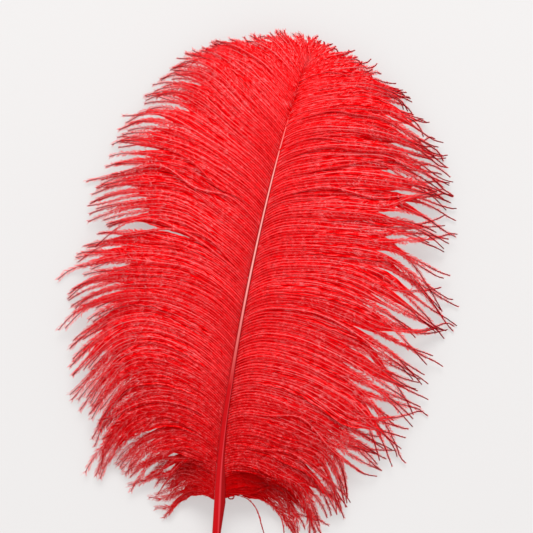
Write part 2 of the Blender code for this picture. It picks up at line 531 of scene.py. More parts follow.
        # Which row it follows along its length.
        pull = self.tuft_pull * rng.uniform(*self.tuft_pulls, n)[:, None] * smooth_step(*self.pull_over, v)
        gathered = row[:, None] + (tuft_row - row)[:, None] * pull * ~stray[:, None]
        part_from = by_lock(*self.part_from)
        out = np.clip((v - part_from) / (1 - part_from), 0, self.most_parted)
        tight = by_lock(*self.tightness) * (1 - loose)[:, None]
        parted = (gathered - lock_row[:, None]) * (1 - tight * out**self.parting_power)
        parted = lock_row[:, None] + parted
        roam = np.where(stray, self.stray_wander, self.wander) * (1 + self.downy_wander * downy)
        roam = roam[:, None] * self.waves(v, *self.wander_waves)
        roam = roam * smooth_step(*self.wander_over, v) * (1 + out)
        fray_from, power = self.frays
        frayed = np.clip((v - fray_from) / (1 - fray_from), 0, 1) ** power
        roam += rng.normal(0, self.fray, n)[:, None] * frayed
        lean = self.sway * sway[:, None] + by_lock(-self.lock_lean, self.lock_lean)
        lean += rng.uniform(-self.tuft_lean, self.tuft_lean, n)[tuft][:, None]
        swerve = self.waves(v, *self.swerve_waves)[lock] * smooth_step(*self.swerve_over, v) * self.swerve
        swerve += self.swoops(row, v) * self.swoop
        share = self.habits.share(parted + (lean * out**self.lean_power + roam + swerve) * fan)

        # How high it lies.
        points = self.vane.place(share, v, (tip_height + rng.uniform(0, self.tip_rise, n))[:, None])
        self.spread_tip(points, root)
        sunk = points[..., 2] * np.clip(v, 0, 1) ** self.sunk_power * self.sunk_depth
        sunk *= 1 - smooth_step(*self.sunk_over, v)
        points[..., 2] -= (1 - smooth_step(*self.sunk_roots, root))[:, None] * sunk
        lifted = rng.normal(0, self.lift, n)[tuft][:, None] * smooth_step(*self.lift_over, v)
        lifted += rng.normal(0, self.lock_lift, n)[lock][:, None] * smooth_step(*self.lock_lift_over, v)
        lifted += 0.5 * self.lift * self.waves(v, *self.lift_waves) * smooth_step(0.0, 0.3, v)
        lifted += self.dome * (1 - offset[:, None] ** 2) * out
        lifted += stray[:, None] * self.stray_lift * np.sin(np.pi * np.clip(v, 0, 1))
        points[..., 2] = np.maximum(points[..., 2] + lifted * fan, self.floor_gap)

        # What it bears.
        is_sunk = root < self.sunk_roots[1]
        fluff_end = by_lock(*self.fluff_to)[:, 0] * rng.uniform(*self.fluff_ends, n)
        fluff_end = np.where(is_sunk, fluff_end * self.sunk_fluff_end, fluff_end)
        fluff = rng.uniform(*self.fluff_sizes, n) * np.where(is_sunk, self.sunk_fluff, 1.0)
        fringe = rng.uniform(*self.fringe_sizes, n) * np.where(stray, self.stray_fringe, 1.0)
        fringe = fringe * at_keys(self.fringe_growth, root)
        rib = rng.uniform(*self.rib_sizes, n) * at_keys(self.rib_growth, root)
        wisps = np.stack([wisp.line(self.vane, self.samples) for wisp in self.wisps])
        few = np.ones(len(wisps))
        narrow = np.full((*wisps.shape[:2], 2), self.stray_apart)
        loose_ones = (wisps, narrow, 0.0 * few, few, self.wisp_fringe * few, self.wisp_rib * few)
        vane_ones = (points, self.gaps(points, stray), fluff_end, fluff, fringe, rib)
        return Barbs(*(np.concatenate(both) for both in zip(loose_ones, vane_ones)))

    def gaps(self, points: Array, stray: Array) -> Array:
        """Measures how far the barbs are apart.

        Args:
            points: The barbs' points, (barbs, samples, 3).
            stray: Which of them stray over the others.

        Returns:
            The distances to the neighbours on the left and on the right, (barbs, samples, 2).
        """
        apart = np.full((*points.shape[:2], 2), self.stray_apart)
        sideways = np.linalg.norm(np.diff(points[~stray], axis=0), axis=2)
        apart[~stray, :, 0] = np.concatenate([sideways[:1], sideways])
        apart[~stray, :, 1] = np.concatenate([sideways, sideways[-1:]])
        return apart[..., ::-1] if self.vane.side is Side.RIGHT else apart

    def spread_tip(self, points: Array, root: Array) -> None:
        """Turns the last barbs about their roots, so that they cross over the shaft's tip.

        Args:
            points: The barbs' points, (barbs, samples, 3), which it changes.
            root: Each barb's share of the barbed shaft.
        """
        turn = self.rng.normal(0, self.tip_spread, len(root)) * smooth_step(self.tip_roots[0], 1.0, root)
        curl = self.rng.normal(0, self.curl, len(root)) * smooth_step(self.curl_root, 1.0, root)
        last = np.clip((np.linspace(0, 1, self.samples) - self.curl_from) / (1 - self.curl_from), 0, 1)
        turn = np.radians(turn)[:, None] + np.radians(curl)[:, None] * last
        cos, sin = np.cos(turn[:, 1:]), np.sin(turn[:, 1:])
        x, y = (np.diff(points[..., i], axis=1) for i in (0, 1))
        points[:, 1:, 0] = points[:, :1, 0] + np.cumsum(x * cos - y * sin, axis=1)
        points[:, 1:, 1] = points[:, :1, 1] + np.cumsum(x * sin + y * cos, axis=1)


class MeshHeap:
    """Vertices, faces and map places of many small shapes on neighbouring barbs, joined in one mesh."""

    def __init__(self, columns: int, seed: int) -> None:
        """Starts with nothing.

        Args:
            columns: How many columns the map has, one for each barb.
            seed: What its chance starts from.
        """
        self.columns = columns
        self.rng = np.random.default_rng(seed)
        self.places: list[Array] = []
        self.corners: list[Array] = []
        self.counts: list[Array] = []
        self.maps: list[Array] = []
        self.total = 0

    def add(self, places: Array, faces: Array, uv: Array) -> None:
        """Adds shapes.

        Args:
            places: The vertices, (vertices, 3).
            faces: The faces' corners as numbers of vertices, (faces, corners).
            uv: Each corner's place on the map, (faces, corners, 2).
        """
        self.places.append(places)
        self.corners.append((faces + self.total).ravel())
        self.counts.append(np.full(len(faces), faces.shape[1]))
        self.maps.append(uv.reshape(-1, 2))
        self.total += len(places)

    def map_x(self, barb: Array, part: Part, share: Array) -> Array:
        """The map's X at a share of the width of a part of a barb."""
        low, high = part.value
        return (barb + low + (high - low) * share) / self.columns

    def add_strips(self, places: Array, part: Part, kept: Array, closed: bool = False) -> None:
        """Adds a strip or tube of four-sided faces along each barb.

        Args:
            places: The vertices, (barbs, samples, across, 3).
            part: The part of the barbs that they are.
            kept: Whether there are faces from a sample to the next, (barbs, samples - 1).
            closed: Whether the last vertex across is joined to the first.
        """
        n, k, across = places.shape[:3]
        number = np.arange(n * k * across).reshape(n, k, across)
        if closed:
            number = np.concatenate([number, number[:, :, :1]], axis=2)
        cells = number.shape[2] - 1
        x = self.map_x(np.arange(n)[:, None], part, np.arange(cells + 1) / cells)[:, None]
        spot = np.stack(np.broadcast_arrays(x, np.linspace(0, 1, k)[:, None]), -1)
        faces, uv = (
            np.stack([g[:, :-1, :-1], g[:, :-1, 1:], g[:, 1:, 1:], g[:, 1:, :-1]], 3) for g in (number, spot)
        )
        kept = np.repeat(kept[:, :, None], cells, axis=2)
        self.add(places.reshape(-1, 3), faces[kept], uv[kept])

    def make(self, name: str, material: bpy.types.Material) -> bpy.types.Object:
        """Makes the heap an object in the scene.

        Args:
            name: The object's name.
            material: What it wears.

        Returns:
            The object.
        """
        places, corners = np.concatenate(self.places), np.concatenate(self.corners)
        counts = np.concatenate(self.counts)
        mesh = bpy.data.meshes.new(name)
        mesh.vertices.add(len(places))
        mesh.vertices.foreach_set("co", places.astype(np.float32).ravel())
        mesh.loops.add(len(corners))
        mesh.loops.foreach_set("vertex_index", corners.astype(np.int32))
        mesh.polygons.add(len(counts))
        mesh.polygons.foreach_set("loop_start", (np.cumsum(counts) - counts).astype(np.int32))
        layer = mesh.uv_layers.new(name=BAKE_MAP)
        layer.uv.foreach_set("vector", np.concatenate(self.maps).astype(np.float32).ravel())
        mesh.update(calc_edges=True)
        mesh.shade_smooth()
        mesh.materials.append(material)
        return put_in_scene(name, mesh)

    @property
    def triangles(self) -> int:
        """How many triangles the faces come to."""
        return int(sum((c - 2).sum() for c in self.counts))


@dataclass(frozen=True)
class RibForm:
    """The thin horny rib of each barb, three-sided and tapering."""

    root_radius: float
    tip_radius: float
    neck_at: float = 0.1  # share of the barb's length where its thicker root ends
    neck: float = 0.8  # its radius there, over the root's
    sides: int = 3

    def add_to(self, heap: MeshHeap, barbs: Barbs) -> None:
        """Adds the barbs' ribs.

        Args:
            heap: The mesh that they join.
            barbs: The barbs.
        """
        n, k = barbs.points.shape[:2]
        _, right, up = barbs.frames
        v = np.linspace(0, 1, k)
        radii = (self.root_radius, self.neck * self.root_radius, self.tip_radius)
        radius = np.interp(v, (0, self.neck_at, 1), radii) * barbs.rib[:, None] ** (1 - v)
        turn = np.pi / 2 + 2 * np.pi * np.arange(self.sides) / self.sides
        ring = np.cos(turn)[:, None] * right[:, :, None] + np.sin(turn)[:, None] * up[:, :, None]
        places = barbs.points[:, :, None] + ring * radius[:, :, None, None]
        heap.add_strips(places, Part.RIB, np.ones((n, k - 1), bool), closed=True)


@dataclass(frozen=True)
class FluffForm:
    """The matted barbules low on each barb, a roof under its rib that closes the vane."""

    overlap: float = 0.85  # of the distance to the neighbour
    widest: Keys = ((0.0, 0.0022), (0.3, 0.0030), (0.65, 0.0030), (1.0, 0.0012))
    narrowest: float = 0.0005
    narrowing: float = 0.25  # share of the barb's length over which it ends
    thread: float = 0.1  # its width at its end, over the full one
    torn_over: Span = (0.65, 0.85)  # shares of length over which it comes to tear where the barbs part
    tearing: float = 1.6  # how far apart they are then, over its widest
    least_left: float = 0.3
    ragged: Span = (0.88, 1.12)
    fall: float = 0.36  # how far the roof falls, over its half width
    deepest: float = 0.0012  # half width over which it falls no further
    under_rib: float = 0.0002

    def add_to(self, heap: MeshHeap, barbs: Barbs) -> None:
        """Adds the barbs' underfluff.

        Args:
            heap: The mesh that it joins.
            barbs: The barbs.
        """
        n, k = barbs.points.shape[:2]
        _, right, up = barbs.frames
        v = np.linspace(0, 1, k)
        widest = at_keys(self.widest, v)[:, None]
        reach = barbs.apart * self.overlap
        left = np.clip(self.tearing * widest / np.maximum(reach, SMALLEST), self.least_left, 1)
        torn = smooth_step(*self.torn_over, v)[:, None] * (1 - left)
        half = np.clip(reach, self.narrowest, widest) * (1 - torn)
        half = half * heap.rng.uniform(*self.ragged, (n, k, 2))
        full = 1 - smooth_step(-self.narrowing, 0.0, v - barbs.fluff_end[:, None])
        half = half * ((self.thread + (1 - self.thread) * full) * barbs.fluff[:, None])[:, :, None]
        steep = self.fall * np.minimum(barbs.rib, 1.0)[:, None, None]
        ridge = barbs.points - up * self.under_rib
        left_edge, right_edge = (
            ridge + side * right * wide - up * np.minimum(wide, self.deepest) * steep
            for side, wide in ((-1, half[..., :1]), (1, half[..., 1:]))
        )
        kept = v[:-1] < barbs.fluff_end[:, None]
        heap.add_strips(np.stack([left_edge, ridge, right_edge], 2), Part.FLUFF, kept)


@dataclass(frozen=True)
class BarbuleForm:
    """The soft barbules that fringe both sides of each barb: slivers, bent where they stand free."""

    lengths: Keys  # share of the barb's length, and theirs over the usual
    pitch: float = 0.00019
    length: float = 0.0040
    own_lengths: Span = (0.75, 1.15)
    bunch_lengths: Span = (0.75, 1.2)
    width: float = 0.00022
    root_angle: float = 40.0
    tip_angle: float = 18.0
    falls: Keys = ((0.0, -26.0), (0.25, -12.0), (0.5, -3.0))  # degrees below its plane
    root_fall: float = 0.2  # of the whole fall
    tip_fall: float = 1.8
    untidy: float = 12.0
    bunch: int = 7  # neighbours on one side that lie alike
    bunch_untidy: float = 12.0
    bend_at: float = 0.45  # of their length
    outwards: float = 0.5  # how far they face away from the barb
    twist: float = 0.2  # how untidily they face
    bent_from: float = 0.62  # share of the barb's length from which they stand free
    thin_from: float = 0.78  # share of the barb's length from which they get fewer
    fewest: float = 0.60
    finest: float = 0.60
    floor_gap: float = 0.00005
    map_rows: Span = (0.998, 0.0015)  # the barb's length on the map, and a barbule's

    def add_to(self, heap: MeshHeap, barbs: Barbs) -> None:
        """Adds the barbs' barbules.

        Args:
            heap: The mesh that they join.
            barbs: The barbs.
        """
        rng = heap.rng
        n, k = barbs.points.shape[:2]
        counts = (2 * barbs.lengths / self.pitch).astype(int)
        barb = np.repeat(np.arange(n), counts)
        order = np.arange(len(barb)) - np.repeat(np.cumsum(counts) - counts, counts)
        v = (order + rng.random(len(barb))) / counts[barb]
        kept = rng.random(len(barb)) < np.interp(v, (self.thin_from, 1.0), (1.0, self.fewest))
        barb, order, v = barb[kept], order[kept], v[kept]
        side = np.where(order % 2, 1.0, -1.0)[:, None]
        bunch = (np.arange(len(barb)) // (2 * self.bunch)) * 2 + order % 2
        at = v * (k - 1)
        step = np.minimum(at.astype(int), k - 2)
        part = (at - step)[:, None]

        def there(values: Array) -> Array:
            """The samples' values at the barbules' roots."""
            return values[barb, step] * (1 - part) + values[barb, step + 1] * part

        def degrees(mean: float | Array) -> Array:
            """Angles about this mean, alike within a bunch, in radians and as a column."""
            shared = rng.normal(0, self.bunch_untidy, bunch.max() + 1)[bunch]
            return np.radians(mean + shared + rng.normal(0, self.untidy, len(barb)))[:, None]

        root = there(barbs.points)
        along, right, up = (there(a) for a in barbs.frames)
        length = self.length * at_keys(self.lengths, v) * barbs.fringe[barb]
        length = length * rng.uniform(*self.bunch_lengths, bunch.max() + 1)[bunch]
        length = (length * rng.uniform(*self.own_lengths, len(barb)))[:, None]

        def way(angle: float, fall: Array) -> Array:
            """The way that a barbule takes at this angle to its barb and this fall."""
            a, f = degrees(angle), degrees(fall)
            return np.cos(a) * along + np.sin(a) * (np.cos(f) * side * right + np.sin(f) * up)

        fall = at_keys(self.falls, v)
        first = way(self.root_angle, self.root_fall * fall)
        middle = root + self.bend_at * length * first
        end = middle + (1 - self.bend_at) * length * way(self.tip_angle, self.tip_fall * fall)
        face = unit(up + self.outwards * side * right + rng.normal(0, self.twist, up.shape))
        width = self.width * np.interp(v, (self.thin_from, 1.0), (1.0, self.finest))[:, None]
        across = unit(np.cross(face, first)) * width / 2
        bent = np.stack([root, middle - across, middle + across, end], 1)
        flat = np.stack([root - across, root + across, end], 1)
        rows, row = self.map_rows
        for places, which, faces, out in (
            (bent, v > self.bent_from, ((0, 1, 2), (1, 3, 2)), (0.0, self.bend_at, self.bend_at, 1.0)),
            (flat, v <= self.bent_from, ((0, 2, 1),), (0.0, 0.0, 1.0)),
        ):
            places = places[which]
            places[..., 2] = np.maximum(places[..., 2], self.floor_gap)
            x = heap.map_x(barb[which, None], Part.BARBULE, np.array(out))
            spot = np.stack([x, v[which, None] * rows + np.linspace(0, row, len(out))], -1)
            number = len(out) * np.arange(len(places))[:, None]
            corners = np.stack([number + f for f in faces], 1).reshape(-1, 3)
            uv = np.stack([spot[:, f] for f in faces], 1).reshape(-1, 3, 2)
            heap.add(places.reshape(-1, 3), corners, uv)


class NodeDesk:
    """Adds and joins the nodes of one material. Values may be numbers, colours or sockets."""

    def __init__(self, name: str) -> None:
        """Makes the material, with a Principled shader."""
        self.material = bpy.data.materials.new(name)
        self.material.use_nodes = True
        self.tree = self.material.node_tree
        self.shader = self.tree.nodes["Principled BSDF"]

    def add(self, kind: str, inputs: dict[Any, Any] | None = None, **settings: Any) -> bpy.types.Node:
        """Adds a node.

        Args:
            kind: The node's type, without ShaderNode.
            inputs: Values for its inputs, by name or number.
            settings: Its own settings.

        Returns:
            The node.
        """
        node = self.tree.nodes.new("ShaderNode" + kind)
        for name, value in settings.items():
            setattr(node, name, value)
        for name, value in (inputs or {}).items():
            self.put(value, node.inputs[name])
        return node

    def put(self, value: Any, socket: Socket) -> None:
        """Links or sets a socket.

        Args:
            value: The socket that it is linked to, or what it is set to.
            socket: The socket.
        """
        if isinstance(value, Socket):
            self.tree.links.new(value, socket)
        else:
            socket.default_value = value

    def finish(
        self, colour: Any, roughness: float, sheen: float, more: dict[str, Any] | None = None
    ) -> bpy.types.Material:
        """Ends the material.

        Args:
            colour: Its colour.
            roughness: How rough it is.
            sheen: How strongly it reflects.
            more: Values for other inputs of the shader, by name.

        Returns:
            The material.
        """
        looks = {"Base Color": colour, "Roughness": roughness, "Specular IOR Level": sheen, **(more or {})}
        for name, value in looks.items():
            self.put(value, self.shader.inputs[name])
        return self.material

    def math(self, operation: str, *values: Any, clamp: bool = False) -> Socket:
        """The result of a Math node."""
        return self.add("Math", dict(enumerate(values)), operation=operation, use_clamp=clamp).outputs[0]

    def times(self, a: Any, b: Any, clamp: bool = False) -> Socket:
        """The values' product."""
        return self.math("MULTIPLY", a, b, clamp=clamp)

    def plus(self, a: Any, b: Any) -> Socket:
        """The values' sum."""
        return self.math("ADD", a, b)

    def minus(self, a: Any, b: Any) -> Socket:
        """The first value less the second."""
        return self.math("SUBTRACT", a, b)

    def rise(self, of: Any, low: float, high: float, most: float = 1.0) -> Socket:
        """Rises from 0 where a value is low to most where it is high."""
        return self.add("MapRange", {0: of, 1: low, 2: high, 3: 0.0, 4: most}).outputs[0]

    def mix(self, factor: Any, a: Any, b: Any) -> Socket:
        """The colour between two."""
        return self.add("Mix", {0: factor, 6: a, 7: b}, data_type="RGBA").outputs[2]

    def place(self, x: Any, y: Any) -> Socket:
        """The place with these X and Y."""
        return self.add("CombineXYZ", {0: x, 1: y}).outputs[0]

    def map_place(self) -> tuple[Socket, Socket]:
        """X and Y on the map."""
        spot = self.add("SeparateXYZ", {0: self.add("UVMap", uv_map=BAKE_MAP).outputs[0]})
        return spot.outputs[0], spot.outputs[1]

    def noise(self, place: Socket, detail: float, scale: float = 1.0) -> Socket:
        """Cloudy noise of about 0.5."""
        return self.add("TexNoise", {"Vector": place, "Scale": scale, "Detail": detail}).outputs["Fac"]

    def ramp(self, factor: Socket, *stops: tuple[float, Colour]) -> Socket:
        """Makes a ramp.

        Args:
            factor: Where along the ramp.
            stops: Each stop's place and colour, in order.

        Returns:
            The colour there.
        """
        node = self.add("ValToRGB", {0: factor})
        elements = node.color_ramp.elements
        while len(elements) < len(stops):
            elements.new(0.5)
        for element, (place, colour) in zip(elements, stops):
            element.position, element.color = place, colour
        return node.outputs[0]


@dataclass(frozen=True)
class BarbDyeAndPaintedLight:
    """Scarlet dye on barbs, with painted light: ribs that end maroon, painted shade on the barbules' ends
    deep down and painted pink sheen on them further out.
    """

    columns: int
    maroon_from: float  # share of the barbs' length
    stretch: Stretch
    recess_shade: float  # how much painted shade darkens the lowest barbs, in the recess under the upper layer
    rib_root: Colour = (1.0, 0.120, 0.130, 1.0)
    # pink of the ribs further out, partly painted highlight
    rib_ripe: Colour = (1.0, 0.300, 0.310, 1.0)
    # painted pink sheen: the underfluff's light streaks, and painted light about the shaft's tip
    pink: Colour = (1.0, 0.150, 0.160, 1.0)
    rib_tip: Colour = (0.04, 0.0, 0.003, 1.0)
    barbule_tip: Colour = (0.95, 0.035, 0.045, 1.0)
    fluff: Colour = (1.0, 0.001, 0.003, 1.0)
    # darker red for random mottle and for painted shade low on the vane
    deep: Colour = (0.43, 0.0, 0.0006, 1.0)
    # painted shade on the ribs' underside; also the darkest random mottle of the barbules
    flank: Colour = (0.62, 0.0, 0.002, 1.0)
    valley: Colour = (0.42, 0.0, 0.0006, 1.0)
    # painted shade line down the valleys between barbs
    seam_shade: Colour = (0.18, 0.0, 0.0002, 1.0)
    trough: Colour = (0.54, 0.0, 0.0010, 1.0)
    red: Colour = (1.0, 0.004, 0.009, 1.0)
    # painted pink sheen of the barbules near their roots
    painted_sheen_root: Colour = (1.0, 0.075, 0.080, 1.0)
    # painted pink sheen of the barbules further out, also on the brightest lower barbs
    glow: Colour = (1.0, 0.30, 0.31, 1.0)
    clouds: float = 20.0  # along a barb
    beads: float = 75.0  # along a barb
    hairs: float = 200.0  # along a barb
    streaks: Span = (42.0, 15.0)  # across a column and along a barb's underfluff
    roughness: float = 0.5
    sheen: float = 0.01

    def material(self) -> bpy.types.Material:
        """Mixes the finish for one stretch of barbs.

        Returns:
            The material.
        """
        desk = NodeDesk("dyed_barbs")
        x, along = desk.map_place()
        column = desk.times(x, float(self.columns))
        barb, part = desk.math("FLOOR", column), desk.math("FRACT", column)
        chance = desk.add("TexWhiteNoise", {"W": barb}, noise_dimensions="1D").outputs["Value"]
        cloud = desk.noise(desk.place(desk.times(barb, 0.73), desk.times(along, self.clouds)), 3.0)
        beads = desk.noise(desk.place(desk.times(barb, 7.3), desk.times(along, self.beads)), 1.0)
        hair = desk.place(barb, desk.math("FLOOR", desk.times(along, self.hairs)))
        hair = desk.add("TexWhiteNoise", {"Vector": hair}, noise_dimensions="2D").outputs[0]

        # Ribs, pink partly as painted highlight, with painted shade on their underside that leaves the top
        # ridge lighter.
        low, high = Part.RIB.value
        rib = desk.mix(desk.rise(along, 0.08, 0.45), self.rib_root, self.rib_ripe)
        rib = desk.mix(desk.times(chance, 0.6), rib, self.red)
        aside = desk.math("ABSOLUTE", desk.minus(part, (low + high) / 2))
        # painted shade on the rib's underside, the middle of its column; the top ridge keeps the pinker
        # colour
        rib = desk.mix(desk.rise(aside, 0.20 * (high - low), 0.42 * (high - low)), self.flank, rib)
        rib = desk.mix(desk.rise(along, self.maroon_from, self.maroon_from + 0.15), rib, self.rib_tip)

        # Barbules, mottled from one to the next, with painted shade towards their ends and painted pink
        # sheen on the lighter ones.
        out = desk.times(desk.minus(part, Part.BARBULE.value[0]), 3.5, clamp=True)
        tone = desk.plus(hair, desk.times(desk.minus(beads, 0.5), 0.7))
        tone = desk.plus(tone, desk.times(desk.minus(cloud, 0.5), 0.6))
        # painted shade: each barbule darker towards its end, where it lies down in the valley between barbs
        tone = desk.minus(tone, desk.times(out, 0.25))
        dark = desk.ramp(tone, (0.0, self.flank), (0.14, self.red))
        # painted pink sheen, stronger further along the barb
        glow = desk.mix(desk.rise(along, 0.05, 0.50), self.painted_sheen_root, self.glow)
        barbule = desk.mix(desk.rise(tone, 0.62, 1.0), dark, glow)
        barbule = desk.mix(desk.rise(along, 0.70, 0.95, 0.7), barbule, self.barbule_tip)

        # Underfluff, streaked at random from darker red to painted pink sheen, with a line of painted shade
        # down the middle of either half, where the valley between neighbouring barbs lies.
        valley = desk.math("ABSOLUTE", desk.minus(part, sum(Part.FLUFF.value) / 2))
        valley = desk.times(valley, 7.0, clamp=True)
        streak = desk.place(desk.times(column, self.streaks[0]), desk.times(along, self.streaks[1]))
        streak = desk.plus(desk.noise(streak, 1.0), desk.times(desk.minus(hair, 0.5), 0.07))
        trough = self.valley if self.stretch is Stretch.LOWER else self.trough
        fluff = desk.ramp(streak, (0.34, trough), (0.46, self.fluff), (0.52, self.fluff), (0.66, self.pink))
        # painted shade line in each half of the underfluff
        fluff = desk.mix(desk.ramp(valley, (0.36, BLACK), (0.50, WHITE), (0.64, BLACK)), fluff, self.seam_shade)

        is_barbule = desk.math("GREATER_THAN", part, (Part.RIB.value[1] + Part.BARBULE.value[0]) / 2)
        is_fluff = desk.math("GREATER_THAN", part, (Part.BARBULE.value[1] + Part.FLUFF.value[0]) / 2)
        colour = desk.mix(is_fluff, desk.mix(is_barbule, rib, barbule), fluff)
        # random mottle from barb to barb, and in the lower stretch painted shade too, mixed towards deep red
        mottle_and_shade = desk.plus(desk.times(chance, 0.37), desk.times(cloud, 0.06))
        if self.stretch is Stretch.LOWER:
            # painted shade: the lower barbs darker towards the base, the random lighter ones given painted
            # pink sheen and the darker ones darker still
            painted_base_shade = desk.rise(barb, 0.95 * self.columns, 0.0)
            bright = desk.times(painted_base_shade, desk.rise(tone, 0.75, 1.10))
            dull = desk.times(painted_base_shade, desk.rise(tone, 0.35, 0.05))
            colour = desk.mix(dull, desk.mix(bright, colour, self.glow), self.deep)
            mottle_and_shade = desk.plus(mottle_and_shade, desk.times(painted_base_shade, 0.40))
        colour = desk.mix(mottle_and_shade, colour, self.deep)
        if self.stretch is Stretch.LOWER:
            # painted shade in the recess: the lowest barbs, under the overhanging upper ones, darkened
            # towards their roots
            recess_shade = desk.rise(barb, 0.28 * self.columns, 0.25 * self.columns, self.recess_shade)
            colour = desk.mix(desk.times(recess_shade, desk.rise(along, 0.80, 0.40)), colour, self.valley)
        if self.stretch is Stretch.UPPER:
            # painted light: the barbs' roots about the shaft's tip lightened to pink, over the shade where
            # the two vanes part
            tip = desk.rise(barb, 0.70 * self.columns, 0.92 * self.columns, 0.8)
            colour = desk.mix(desk.times(tip, desk.rise(along, 0.35, 0.0)), colour, self.pink)
        return desk.finish(colour, self.roughness, self.sheen)


@dataclass(frozen=True)
class HornDyeAndPaintedLight:
    """Satin horn of the quill and shaft, deep red below and a pale pink line higher up, with painted shade
    on its sides and painted highlight lines along its lower ridges.
    """

    red: Colour = (0.50, 0.001, 0.004, 1.0)
    scarlet: Colour = (1.0, 0.03, 0.035, 1.0)
    # painted shade down the shaft's sides and beside its pale line
    dark: Colour = (0.28, 0.0, 0.001, 1.0)
    # painted highlight along the ridges of the lower shaft
    light: Colour = (0.66, 0.04, 0.05, 1.0)
    pale: Colour = (0.90, 0.36, 0.33, 1.0)
    paling: Span = (0.42, 0.60)  # shares of its length over which the pale line comes
    ending: Span = (0.76, 0.90)  # and over which it goes
    grain: Span = (60.0, 24.0)  # round it and along it
    roughness: float = 0.42
    sheen: float = 0.10

    def material(self) -> bpy.types.Material:
        """Mixes the finish for the shaft, on a map with its girth in X and its length in Y.

        Returns:
            The material.
        """
        desk = NodeDesk("dyed_shaft")
        girth, along = desk.map_place()
        # Bands round the girth: painted shade on the sides and painted highlight lines on the ridges beside
        # the red top, and higher up the pale top between painted shade.
        lower = desk.ramp(
            girth, (0.0, self.dark), (0.105, self.dark), (0.125, self.light), (0.15, self.light),
            (0.18, self.red), (0.40, self.red), (0.43, self.light), (0.47, self.dark),
        )
        upper = desk.ramp(
            girth, (0.0, self.dark), (0.155, self.dark), (0.19, self.pale), (0.31, self.pale),
            (0.345, self.dark), (0.5, self.dark),
        )
        colour = desk.mix(desk.rise(along, *self.paling), lower, upper)
        colour = desk.mix(desk.rise(along, *self.ending), colour, self.scarlet)
        grain = desk.place(desk.times(girth, self.grain[0]), desk.times(along, self.grain[1]))
        colour = desk.mix(desk.times(desk.noise(grain, 3.0), 0.30), colour, self.red)
        return desk.finish(colour, self.roughness, self.sheen)


@dataclass(frozen=True)
class PaperFinish:
    """Plain pale sheet that the plume lies on."""

    colour: Colour = (0.36, 0.353, 0.35, 1.0)
    lit: Colour = (1.0, 0.975, 0.97, 1.0)
    glow: float = 0.40  # light that the translucent sheet gives off, lit from below
    tooth: float = 900.0
    roughness: float = 0.9
    sheen: float = 0.1

    def material(self) -> bpy.types.Material:
        """Mixes the floor's finish, with a faint tooth.

        Returns:
            The material.
        """
        desk = NodeDesk("pale_paper")
        tooth = desk.noise(desk.add("TexCoord").outputs["Object"], 2.0, self.tooth)
        bump = desk.add("Bump", {"Height": tooth, "Strength": 0.05, "Distance": 0.0002})
        light = {"Normal": bump.outputs[0], "Emission Color": self.lit, "Emission Strength": self.glow}
        return desk.finish(self.colour, self.roughness, self.sheen, light)


